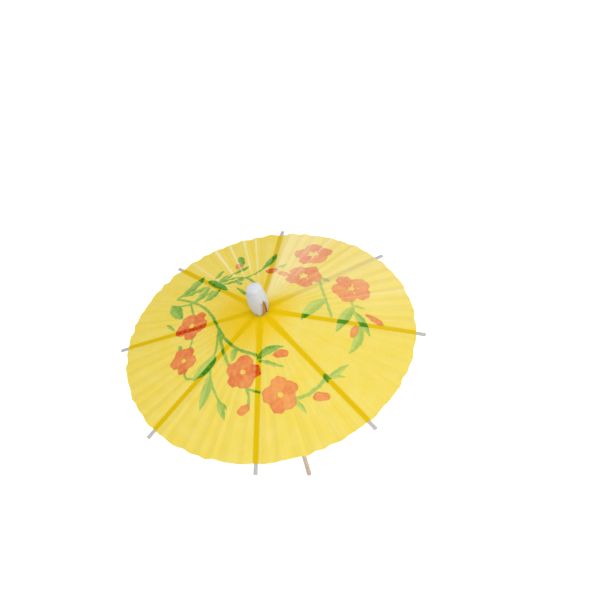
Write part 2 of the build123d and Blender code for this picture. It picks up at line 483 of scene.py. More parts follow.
@dataclass(frozen=True)
class PulpFinish:
    """Paper or board of plain pulp: matt and fibrous, with specks and, where it is rolled, thin layers."""

    name: str
    light: str
    dark: str
    speck: str
    clump: float = 0.5
    speck_size: float = 0.6
    speck_share: float = 0.3
    layer: float = 0.0  # width of a ring of layers
    roughness: float = 0.8
    # Colour of glue on a wrap's lips, also painted as shadow of gaps at its lower edge.
    stain_and_shadow: str = ""

    SPECK_SPAN = (0.62, 0.72)
    RING_SHARE = 0.25
    FIBRE_DEPTH = 0.02
    SHINE = 0.2

    def material(self) -> Material:
        """Build the pulp's material.

        Returns:
            The material.
        """
        material, tree = blank_material(self.name)
        place = add_node(tree, "TexCoord", out="Object")
        clump, specks = (
            add_node(tree, "TexNoise", {"Vector": place, "Scale": per_metre(size), "Detail": detail})
            for size, detail in ((self.clump, 5.0), (self.speck_size, 1.0))
        )
        dots = dict(zip(SPAN, (specks, *self.SPECK_SPAN, 0.0, self.speck_share)))
        coats = [(clump, self.dark), (add_node(tree, "MapRange", dots), self.speck)]
        colour = layered(tree, self.light, coats)
        if self.layer:
            rings = {"Vector": place, "Scale": per_metre(self.layer) * WAVE_TURN, "Distortion": 0.6}
            rings = add_node(tree, "TexWave", rings, "Fac", wave_type="RINGS", rings_direction="Z")
            colour = layered(tree, colour, [(self.RING_SHARE, rings)], "MULTIPLY")
        # Glue and painted shadow, where the wrap's attribute calls for them.
        if self.stain_and_shadow:
            browned_and_shaded = add_node(tree, "Attribute", out="Fac", attribute_name=Mark.STAIN_AND_SHADOW.value)
            colour = layered(tree, colour, [(browned_and_shaded, self.stain_and_shadow)])
        normal = fibre_bump(tree, place, self.clump / 2, self.FIBRE_DEPTH, 0.6)
        shine = {"Roughness": self.roughness, "Specular IOR Level": self.SHINE}
        skin = add_node(tree, "BsdfPrincipled", {"Base Color": colour, "Normal": normal, **shine})
        add_node(tree, "OutputMaterial", {"Surface": skin})
        return material


@dataclass(frozen=True)
class BirchFinish:
    """Turned birch: pale close-grained wood with fine streaks along the stick and a dry matt surface."""

    light: str = "#DBCBBB"
    dark: str = "#BFA894"
    streak: float = 0.22
    streak_length: float = 9.0
    streak_depth: float = 0.03
    grain_span: Pair = (0.3, 0.7)
    roughness: float = 0.65
    shine: float = 0.3

    def material(self) -> Material:
        """Build the wood's material.

        Returns:
            The material.
        """
        material, tree = blank_material("turned_birch")
        place = add_node(tree, "TexCoord", out="Object")
        across, along = per_metre(self.streak), per_metre(self.streak_length)
        drawn = add_node(tree, "Mapping", {"Vector": place, "Scale": (across, across, along)})
        grain = add_node(tree, "TexNoise", {"Vector": drawn, "Scale": 1.0, "Detail": 3.0})
        share = add_node(tree, "MapRange", dict(zip(SPAN, (grain, *self.grain_span))))
        colour = layered(tree, self.light, [(share, self.dark)])
        relief = {"Height": grain, "Distance": self.streak_depth * MM, "Strength": 0.6}
        normal = add_node(tree, "Bump", relief)
        shine = {"Roughness": self.roughness, "Specular IOR Level": self.shine}
        skin = add_node(tree, "BsdfPrincipled", {"Base Color": colour, "Normal": normal, **shine})
        add_node(tree, "OutputMaterial", {"Surface": skin})
        return material


@dataclass(frozen=True)
class PlasticFinish:
    """Soft natural polythene, cut from tube: milky and waxy with a dull gloss and faint draw lines."""

    milk: str = "#E4E7E9"
    shade: str = "#D3D8DC"
    draw_line: float = 0.3
    line_length: float = 6.0
    gloss_span: Pair = (0.3, 0.45)
    haze: float = 0.5  # how deep light goes in

    def material(self) -> Material:
        """Build the plastic's material.

        Returns:
            The material.
        """
        material, tree = blank_material("natural_polythene")
        place = add_node(tree, "TexCoord", out="Object")
        across, along = per_metre(self.draw_line), per_metre(self.line_length)
        lines = add_node(tree, "Mapping", {"Vector": place, "Scale": (across, across, along)})
        drawn = add_node(tree, "TexNoise", {"Vector": lines, "Scale": 1.0})
        gloss = dict(zip(SPAN, (drawn, 0.0, 1.0, *self.gloss_span)))
        skin = {
            "Base Color": layered(tree, self.milk, [(drawn, self.shade)]),
            "Roughness": add_node(tree, "MapRange", gloss),
            "IOR": 1.51,
            "Subsurface Weight": 0.3,
            "Subsurface Radius": (1.0, 1.0, 1.0),
            "Subsurface Scale": self.haze * MM,
        }
        add_node(tree, "OutputMaterial", {"Surface": add_node(tree, "BsdfPrincipled", skin)})
        return material


@dataclass(frozen=True)
class Blossom:
    """Printed blossom of five round petals and a bare heart, on the open disc seen from above."""

    x: float
    y: float
    reach: float
    turn: float
    tone: float
    heart_share: float = 0.15
    parted: float = 0.0  # bare line between petals, near the heart

    PETALS = 5
    PETAL_SEAT = 0.52
    PETAL_LENGTH = 0.48
    PETAL_WIDTH = 0.455
    PETAL_UNEVEN = 0.1
    PETAL_SWING = 9.0
    PETAL_TONE = 0.22
    MIDDLE = 0.56
    PARTED_REACH = 0.4
    HEART_RAY = 0.15

    def cover(self, spots: Array) -> tuple[Array, Array, Array]:
        """Blossom at spots of the paper.

        Args:
            spots: Places on the open disc, with rib 1 along the real axis.

        Returns:
            Distance inside the petals, tone of the petal on top, and distance inside the heart, a star.
        """
        spots = spots - complex(self.x, self.y)
        inside = np.full(spots.shape, -np.inf)
        tone = np.zeros(spots.shape)
        pitch = tau / self.PETALS
        for index in range(self.PETALS):
            chance = sin(self.x + 2.4 * index)
            uneven = 1 + self.PETAL_UNEVEN * chance
            length, width = self.PETAL_LENGTH * self.reach * uneven, self.PETAL_WIDTH * self.reach / uneven
            swing = self.PETAL_SWING * sin(self.y + 1.7 * index)
            turned = spots * np.exp(-1j * (radians(self.turn + swing) + index * pitch))
            off = np.hypot((turned.real - self.PETAL_SEAT * self.reach) / length, turned.imag / width)
            depth = (1 - off) * min(length, width)
            tone = np.where(depth > inside, self.tone + self.PETAL_TONE * chance, tone)
            inside = np.maximum(inside, depth)
        apart, angle = np.abs(spots), np.angle(spots) - radians(self.turn)
        inside = np.maximum(inside, self.MIDDLE * self.reach - apart)
        if self.parted:
            seam = apart * np.sin(pitch / 2 - np.abs(from_nearest(angle, pitch)))
            outer = np.maximum(apart - self.PARTED_REACH * self.reach, 0)
            inside = np.minimum(inside, seam + outer - self.parted / 2)
        star = 1 - self.HEART_RAY * np.cos(self.PETALS * angle)
        return inside, tone, self.heart_share * self.reach * star - apart


@dataclass(frozen=True)
class Blade:
    """Printed leaf or bud between two points of the open disc, widest near its middle.

    A positive bow bends it to the left of its way from the first point to the second, and a blunt one is
    round ended like a bud.
    """

    x0: float
    y0: float
    x1: float
    y1: float
    width: float
    tone: float
    bow: float = 0.0
    blunt: bool = False

    BASE_HEAVY = 0.8  # under one, a leaf is widest nearer its first point
    FULLNESS = 0.85
    VEIN_TONE = 0.16
    VEIN_SOFT = 0.12

    def cover(self, spots: Array) -> tuple[Array, Array]:
        """Blade at spots of the paper.

        Args:
            spots: Places on the open disc, with rib 1 along the real axis.

        Returns:
            Distance inside the blade, and its tone, which is deeper on one side of a leaf's vein.
        """
        start = complex(self.x0, self.y0)
        way = complex(self.x1, self.y1) - start
        length, turned = abs(way), (spots - start) / way
        along, across = turned.real, turned.imag * length
        if self.blunt:
            off = np.hypot((along - 0.5) * 2, across / (self.width / 2))
            return (1 - off) * self.width / 2, np.full(spots.shape, self.tone)
        share = np.clip(along, 0, 1)
        half = self.width / 2 * np.sin(pi * share**self.BASE_HEAVY) ** self.FULLNESS
        past = np.maximum(np.maximum(-along, along - 1), 0) * length
        off = across - self.bow * 4 * share * (1 - share)
        return half - np.abs(off) - past, self.tone + self.VEIN_TONE * np.tanh(off / self.VEIN_SOFT)


@dataclass(frozen=True)
class Stem:
    """Printed stem through points of the open disc, rounded between them."""

    points: Rows
    width: float
    tone: float

    ROUNDINGS = 3

    def cover(self, spots: Array) -> tuple[Array, Array]:
        """Stem at spots of the paper.

        Args:
            spots: Places on the open disc, with rib 1 along the real axis.

        Returns:
            Distance inside the stem, and its tone.
        """
        line = np.array([complex(x, y) for x, y in self.points])
        for _ in range(self.ROUNDINGS):
            step = np.diff(line) / 4
            rounded = np.stack((line[:-1] + step, line[1:] - step), axis=1).ravel()
            line = np.concatenate((line[:1], rounded, line[-1:]))
        nearest = np.full(spots.shape, np.inf)
        for start, way in zip(line, np.diff(line)):
            share = np.clip(((spots - start) / way).real, 0, 1)
            nearest = np.minimum(nearest, np.abs(spots - start - share * way))
        return self.width / 2 - nearest, np.full(spots.shape, self.tone)


@dataclass(frozen=True)
class BlossomSprigs:
    """Block print of blossom sprigs that wind round the hub."""

    blossoms: tuple[Blossom, ...] = (
        Blossom(7.4, -28.3, 6.1, 36, 0.35),
        Blossom(-5.1, -20.5, 5.8, 9, 0.7),
        Blossom(-26.8, -12.4, 5.0, -22, 0.75),
        Blossom(-25.6, 1.5, 6.0, -22, 0.75),
        Blossom(28.2, 16.2, 6.9, -24, 0.5, 0.15, 0.15),
        Blossom(11.8, 21.0, 6.4, -10, 0.6, 0.2, 0.25),
        Blossom(13.4, 35.2, 6.7, 24, 0.6, 0.24, 0.4),
    )
    # Each row is a start, an end, a width and a tone, and in some leaves a bow.
    buds: tuple[Blade, ...] = tuple(
        Blade(*row, blunt=True)
        for row in (
            (4.7, -15.2, 9.7, -14.3, 2.8, 0.6), (17.7, -28.7, 23.3, -28.1, 3.1, 0.4),
            (-2.4, -31.5, -6.3, -34.0, 2.9, 0.4), (30.8, -0.8, 29.4, -6.0, 2.4, 0.2),
            (33.6, 4.6, 39.4, 0.8, 2.3, 0.6), (-11.6, 28.4, -13.4, 31.4, 2.9, 0.5),
            (-1.8, 24.2, 2.6, 25.0, 3.4, 0.9), (2.6, 23.4, 7.0, 21.0, 2.4, 0.2),
        )
    )
    leaves: tuple[Blade, ...] = tuple(
        Blade(*row)
        for row in (
            (-13.4, 36.8, -10.9, 29.4, 2.5, 0.8), (-14.8, -13.4, -23.2, -20.6, 4.0, 0.3, 0.5),
            (-16.6, -19.8, -19.7, -31.4, 3.3, 0.3, 0.4), (-13.2, -28.8, -10.6, -35.8, 2.3, 0.4),
            (-12.8, -29.6, -9.8, -32.6, 1.5, 0.4), (-0.8, -16.6, 8.2, -12.3, 2.6, 0.6, 0.9),
            (-0.5, -17.0, 9.2, -19.4, 1.3, 0.4), (22.0, -22.6, 29.0, -16.2, 2.0, 0.2),
            (22.6, -21.5, 27.9, -20.9, 1.4, 0.2), (21.1, -20.4, 22.4, -23.8, 1.9, 0.4),
            (11.5, -30.0, 15.9, -34.4, 1.7, 0.2, 0.5), (31.8, -0.5, 28.6, -12.8, 3.2, 0.2, 1.2),
            (29.2, 7.4, 24.2, -4.8, 3.6, 0.3), (29.6, 5.4, 35.2, -4.8, 2.6, 0.4, 0.4),
            (29.0, 8.2, 33.6, 6.8, 1.2, 0.2), (20.4, 9.8, 13.0, -2.0, 4.0, 0.1, -0.6),
            (17.6, 20.6, 21.4, 18.6, 1.7, 0.3), (2.4, 26.4, 5.4, 28.6, 1.6, 0.5),
            (0.2, 36.2, -3.8, 25.0, 2.5, 0.9, 0.6), (-8.6, 28.8, -14.0, 25.0, 2.2, 0.8),
            (-18.2, 28.8, -20.6, 23.8, 1.8, 0.6), (-23.2, 24.4, -13.8, 15.4, 2.7, 1.0),
            (-21.8, 20.4, -33.6, 18.2, 2.2, 0.5, 0.4), (-18.6, 21.4, -15.0, 25.8, 1.5, 0.6, 0.3),
            (-17.2, 19.6, -8.4, 20.5, 1.3, 0.8), (-11.3, 19.8, -9.2, 17.0, 1.4, 0.7),
            (-21.6, 19.8, -26.6, 13.0, 2.7, 0.5, 0.3), (-17.4, 17.2, -22.6, 11.8, 3.3, 0.5, 0.3),
            (-25.2, 27.6, -33.8, 17.6, 3.6, 0.6, 1.2), (-35.4, 14.6, -29.8, 5.8, 4.3, 0.6),
            (-35.8, 5.6, -31.8, 1.2, 1.3, 0.5), (-8.2, -11.8, -9.0, -16.6, 2.4, 0.2),
            (-29.4, -5.8, -27.8, -9.0, 1.5, 0.5), (-6.0, 10.0, -11.2, 16.4, 1.3, 0.5),
        )
    )
    stems: tuple[Stem, ...] = (
        Stem(((-2.8, 13.0), (-4.2, 17.2), (-8.4, 21.8), (-13.5, 22.6), (-19.5, 20.5)), 0.9, 0.8),
        Stem(((-3.8, 25.4), (-6.5, 22.2), (-11.5, 20.8), (-18.0, 19.4)), 0.9, 0.7),
        Stem(((-13.6, 25.2), (-17.0, 22.0), (-20.0, 19.8)), 0.9, 0.7),
        Stem(((-20.0, 17.0), (-24.5, 13.6), (-29.0, 12.6), (-34.5, 13.4)), 0.9, 0.6),
        Stem(((-33.8, 17.6), (-29.0, 14.8), (-23.5, 11.0), (-18.2, 4.0), (-15.2, -2.5)), 1.0, 0.5),
        Stem(((-16.0, -0.8), (-15.2, -2.5), (-12.0, -8.2), (-7.5, -12.8), (-1.0, -15.2)), 1.0, 0.5),
        Stem(((-14.8, -3.5), (-14.8, -9.0), (-15.4, -13.8)), 0.9, 0.3),
        Stem(((-14.4, -4.2), (-13.0, -11.0), (-10.4, -17.2)), 1.1, 0.4),
        Stem(((-28.0, 13.8), (-26.5, 9.0), (-25.0, 5.0)), 0.8, 0.6),
        Stem(((-24.3, -3.5), (-24.9, -8.5)), 0.8, 0.4),
        Stem(((-26.2, -16.0), (-25.4, -19.8), (-22.0, -20.3)), 0.8, 0.5),
        Stem(((-16.8, -17.0), (-16.2, -22.0), (-14.4, -26.5), (-12.6, -29.6)), 0.8, 0.4),
        Stem(((-4.2, -25.0), (-2.9, -28.0), (-2.8, -31.8)), 0.9, 0.4),
        Stem(((-4.0, -25.9), (-1.5, -26.9), (0.6, -27.4)), 0.9, 0.6),
        Stem(((11.0, -29.8), (15.0, -28.8), (19.0, -26.0), (21.6, -22.0)), 1.2, 0.3),
        Stem(((16.8, 21.5), (18.2, 15.5), (20.2, 9.5), (22.6, 1.5)), 0.9, 0.3),
        Stem(((28.6, 10.0), (29.3, 7.0), (29.7, 4.5)), 0.8, 0.3),
    )

    BLANK = -9.0
    TONE_PAST = 0.4  # how far past an ink's edge its tone goes
    WAVER = 0.22

    def marks(self, spots: Array) -> dict[Mark, Array]:
        """Measure the print at spots of the paper.

        Args:
            spots: Places on the open disc, with rib 1 along the real axis.

        Returns:
            Distances inside each ink, and the tone of the print.
        """
        x, y = spots.real, spots.imag
        waver = self.WAVER * np.sin(1.9 * x + 0.6 * y) * np.sin(1.7 * y - 0.5 * x + 1.3)
        petal, heart, foliage = (np.full(spots.shape, self.BLANK) for _ in range(3))
        tone = np.zeros(spots.shape)
        for piece in (*self.stems, *self.leaves):
            inside, shade = piece.cover(spots)
            inside = inside + waver / 2
            tone = np.where(inside > np.maximum(foliage, -self.TONE_PAST), shade, tone)
            foliage = np.maximum(foliage, inside)
        for bud in self.buds:
            inside, shade = bud.cover(spots)
            inside = inside + waver / 2
            tone = np.where(inside > -self.TONE_PAST, shade, tone)
            petal = np.maximum(petal, inside)
        for blossom in self.blossoms:
            inside, shade, bare = blossom.cover(spots)
            tone = np.where(inside + waver > -self.TONE_PAST, shade, tone)
            petal = np.maximum(petal, inside + waver)
            heart = np.maximum(heart, bare + waver / 2)
        return {Mark.PETAL: petal, Mark.HEART: heart, Mark.FOLIAGE: foliage, Mark.TONE: tone}


@dataclass
class Canopy:
    """Pleated tissue disc, made as one gore for each rib so that it folds with the ribs.

    A gore is a strip stuck to its rib and the free paper on each side of it. The gores share one run of
    pleats and meet on the seams, so the open canopy reads as one sheet.
    """

    slant: float = 50.0
    open_angle: float = 72.0
    lift: float = 0.32  # paper's face above the middle of the rib's card
    thickness: float = 0.1
    pleat_height: float = 0.6
    pleats_per_side: int = 3
    crispness: float = 0.97  # one would be a knife edge
    rib_landing: float = 1.4
    hub_reach: float = 2.15
    smooth_hub: float = 18.0  # over which the pleats grow from the cap
    plain_hub: float = 14.0  # within which no fold shows in the colour
    steps_out: int = 120
    steps_round: int = 112
    glued_half: float = 0.722  # half the width of the strip on a rib
    folded_share: float = 0.13  # of its width that free paper keeps when it is folded
    slack_side: float = radians(165)  # where the paper is least taut and its folds are sharpest
    usual_size: float = 0.95  # of a pleat
    slack_size: float = 0.35  # more on the slack side, and less across from it
    ridge_width: float = 0.24
    valley_width: float = 0.14
    ragged: float = 0.3  # wavering of the cut edge
    trim: float = 0.15
    hub_band: Pair = (1.3, 9.0)  # how much wider a rib shows near the hub, and how near
    hub_gathered_and_shaded: Pair = (1.35, 0.45)  # reach of the hub's deeper colour, gathered paper and painted shade, and how uneven it is round the stick
    stray: Rows = ((0.012, 17, 0.9), (0.0084, 31, 2.0))  # waves in the pleats' places
    uneven: Rows = ((0.2, 13, 1.0), (0.2, 29, 4.0))  # waves in their heights
    # Strength, azimuth and width of each side where the ridges get painted highlights.
    ridge_highlit: Rows = ((1.2, radians(111), 0.33), (0.85, 1.2, 0.25), (0.45, 0.45, 0.3))
    # Strength, azimuth, width before and after it, first reach and growth of each side with painted glare.
    painted_glare: Rows = (
        (0.62, radians(84), 0.45, 0.07, 3, 8),
        (0.25, 0.5, 0.35, 0.35, 15, 20),
        (0.25, 0.79, 0.12, 0.12, 8, 10),
    )
    print_design: BlossomSprigs = field(default_factory=BlossomSprigs)

    def __post_init__(self) -> None:
        """Work out the apex and the pleats' pitch from the frame."""
        joint = next(j for j in frame["joints"] if j["name"] == "rib_1_fold")
        crease_radius, _, crease_height = (v / MM for v in joint["pos_m"])
        self.slope = radians(self.open_angle)
        self.apex = crease_height + crease_radius / tan(self.slope) + self.lift / sin(self.slope)
        self.half_pitch = pi / RIBS
        self.landing = atan2(self.rib_landing, self.slant * sin(self.slope))
        self.fold = (self.half_pitch - self.landing) / (2 * self.pleats_per_side + 1)

    def pleat(self, azimuth: Array, reach: Array) -> tuple[Array, dict[Mark, Array]]:
        """Pleats round the disc, uneven but for the folds on the seams, where folded gores meet.

        Args:
            azimuth: Directions round the stick.
            reach: Distances from the apex along the paper.

        Returns:
            Height above the plain cone, and the measures of the nearest folds.
        """
        stray = ripple(azimuth, self.stray) * np.sin(RIBS * azimuth) ** 2
        turn = np.abs(from_nearest(azimuth + stray, 2 * self.half_pitch))
        fold = np.maximum((turn - self.landing) / self.fold, 0)
        wave = (np.arccos(self.crispness * np.cos(pi * fold)) - acos(self.crispness)) / pi
        slack = np.cos(azimuth - self.slack_side)
        uneven = self.slack_size * slack + ripple(azimuth, self.uneven)
        size = self.usual_size + uneven * (1 - np.sin(RIBS / 2 * azimuth) ** 8)
        spread = np.clip((reach - self.hub_reach) / self.smooth_hub, 0, 1)
        height = reach / self.slant * self.pleat_height * size * wave * spread
        ridge = np.abs(from_nearest(fold, 2))
        rim, outer = (np.clip((reach - self.plain_hub) / growth, 0, 1) for growth in (16, 20))
        # Strength of the painted highlights on the ridges, most on the listed sides.
        ridge_highlit = 0.35 * np.sin(23 * azimuth + 5.2) - 0.3
        for strength, side, width in self.ridge_highlit:
            ridge_highlit += strength * bell(from_nearest(azimuth - side, tau), width)
        # Strength of the painted shade in the valleys, most on the slack side.
        sharp = np.clip(0.4 + 0.4 * slack + 0.5 * np.sin(19 * azimuth), 0, 1)
        streak = 0.1 * np.sin(211 * azimuth + 0.05 * reach) * np.sin(37 * azimuth + 0.1 * reach)
        streak += 0.08 * np.sin(147 * azimuth + 2 + 0.1 * reach) * np.sin(23 * azimuth - 0.08 * reach)
        marks = {
            Mark.CREASE: np.clip(1 - (1 - ridge) / self.ridge_width, 0, 1) * np.clip(ridge_highlit, 0, 1) * rim,
            Mark.VALLEY: np.clip(1 - ridge / self.valley_width, 0, 1) * (fold > 0.5) * sharp * outer,
            Mark.STREAK: streak,
        }
        return height, marks

    def surface(self, azimuth: Array, reach: Array) -> tuple[Array, dict[Mark, Array]]:
        """Paper's face at points of the disc.

        Args:
            azimuth: Directions round the stick.
            reach: Distances from the apex along the paper.

        Returns:
            Places in metres, and the measures that the finish reads.
        """
        height, folds = self.pleat(azimuth, reach)
        cut = self.ragged * np.sin(37 * azimuth + 0.4) * np.sin(11 * azimuth) - self.trim
        along = reach + cut * (reach / self.slant) ** 12
        across = along * sin(self.slope)
        rise = self.apex - along * cos(self.slope) + height
        places = np.stack((across * np.cos(azimuth), across * np.sin(azimuth), rise), axis=1) * MM
        turn = from_nearest(azimuth, 2 * self.half_pitch)
        # Painted glare on the listed sides, growing outwards.
        glare_strength = np.zeros(reach.shape)
        for strength, side, before, after, start, growth in self.painted_glare:
            off = from_nearest(azimuth - side, tau)
            grown = np.clip((reach - start) / growth, 0, 1)
            glare_strength += strength * bell(off, np.where(off > 0, after, before)) * grown
        # Near the hub, gathered paper and painted shade of the cap deepen the colour, furthest on the slack
        # side.
        wider, near = self.hub_band
        deepened_reach, uneven = self.hub_gathered_and_shaded
        marks = {
            Mark.RIB_GAP: np.abs(across * np.sin(turn)) / (1 + wider * bell(reach, near)),
            Mark.REACH: reach / (deepened_reach + uneven * np.cos(azimuth - self.slack_side)),
            **folds,
            Mark.WASH: glare_strength,
            **self.print_design.marks(reach * np.exp(1j * azimuth)),
        }
        return places, marks

    def spread(self, rib: float) -> BMesh:
        """Spread the open paper of one rib, with its measures.

        Args:
            rib: Azimuth of the rib.

        Returns:
            The paper's face, from seam to seam.
        """
        made = bmesh.new()
        bmesh.ops.create_grid(made, x_segments=self.steps_out, y_segments=self.steps_round, size=1.0)
        grid = np.array([v.co[:] for v in made.verts])
        reach = self.hub_reach + (grid[:, 0] + 1) / 2 * (self.slant - self.hub_reach)
        places, marks = self.surface(rib + grid[:, 1] * self.half_pitch, reach)
        for mark in marks:
            made.verts.layers.float.new(mark.value)
        layers = [made.verts.layers.float[mark.value] for mark in marks]
        for vertex, place, *values in zip(made.verts, places, *marks.values()):
            vertex.co = place
            for layer, value in zip(layers, values):
                vertex[layer] = value
        return made

    def part(self, whole: BMesh, number: int, part: GorePart, finishes: list[Material]) -> Object:
        """Cut one part of a gore out along its rib's edges.

        Args:
            whole: The gore's face.
            number: Rib that carries it.
            part: Strip on the rib, or the free paper on one side of it.
            finishes: Materials of the paper's face and back.

        Returns:
            The part, riding on its rib.
        """
        rib = tau * (number - 1) / RIBS
        across = Vector((-sin(rib), cos(rib), 0))
        on_rib = part is GorePart.GLUED
        made = whole.copy()
        for side in (-1, 1) if on_rib else (part.value,):
            bmesh.ops.bisect_plane(
                made,
                geom=made.verts[:] + made.edges[:] + made.faces[:],
                plane_co=across * side * self.glued_half * MM,
                plane_no=across * side,
                clear_outer=on_rib,
                clear_inner=not on_rib,
            )
        for edge in made.edges:
            edge.smooth = not edge.is_boundary
        name, node = f"canopy_paper_{number}_{part.name.lower()}", f"canopy_gore_{number}"
        piece = make_piece(made, name, finishes, self.thickness, f"rib_{number}", node)
        piece.modifiers["paper"].material_offset = 1
        if not on_rib:
            edge = across * part.value * self.glued_half * MM
            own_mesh(piece)
        return piece

    def gore(self, number: int, finishes: list[Material]) -> None:
        """Build the paper of one rib.

        The strip on the rib stays flat, and the free paper on each side of it rides on the rib too.

        Args:
            number: Rib that carries it.
            finishes: Materials of the paper's face and back.
        """
        whole = self.spread(tau * (number - 1) / RIBS)
        made = {part: self.part(whole, number, part, finishes) for part in GorePart}
        whole.free()

    def build(self) -> None:
        """Build and dress all the gores."""
        finishes = [TissueFinish(side).material() for side in PaperSide]
        for number in range(1, RIBS + 1):
            self.gore(number, finishes)


@dataclass
class WoundPaper:
    """Strip of paper wound round the stick, whose loose end shows as a step along one side."""

    name: str
    node: str
    body: str
    slot: str
    bore: float
    step: float = 0.1
    step_azimuth: float = 150.0
    slack: float = 0.02
    sharp_edge: float = 35.0
    steps_round: int = 96
    rows: int = 15

    def build(self, finish: Material) -> None:
        """Build the roll in the space of its CAD node.

        Args:
            finish: Material of the paper.
        """
        low, high = (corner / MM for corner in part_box(self.node))
        radius = high.x - self.step
        rise = (high.z - low.z) / self.rows
        side = [(radius, low.z + rise * row) for row in range(self.rows + 1)]
        foot = (self.bore, low.z)
        made = lathe([foot, *side, (self.bore, high.z), foot], self.steps_round)
        start = radians(self.step_azimuth)
        for vertex in made.verts:
            across = hypot(vertex.co.x, vertex.co.y)
            if across < (self.bore + radius) / 2 * MM:
                continue
            azimuth = atan2(vertex.co.y, vertex.co.x)
            wound = 1 - ((azimuth - start) % tau) / tau
            slack = self.slack * sin(5 * azimuth + 0.8 * vertex.co.z / MM)
            vertex.co.xy *= 1 + (self.step * wound + slack) * MM / across
        bmesh.ops.recalc_face_normals(made, faces=made.faces)
        piece = make_piece(made, self.name, [finish], 0.0, self.body, self.node)
        piece.data.set_sharp_from_angle(angle=radians(self.sharp_edge))


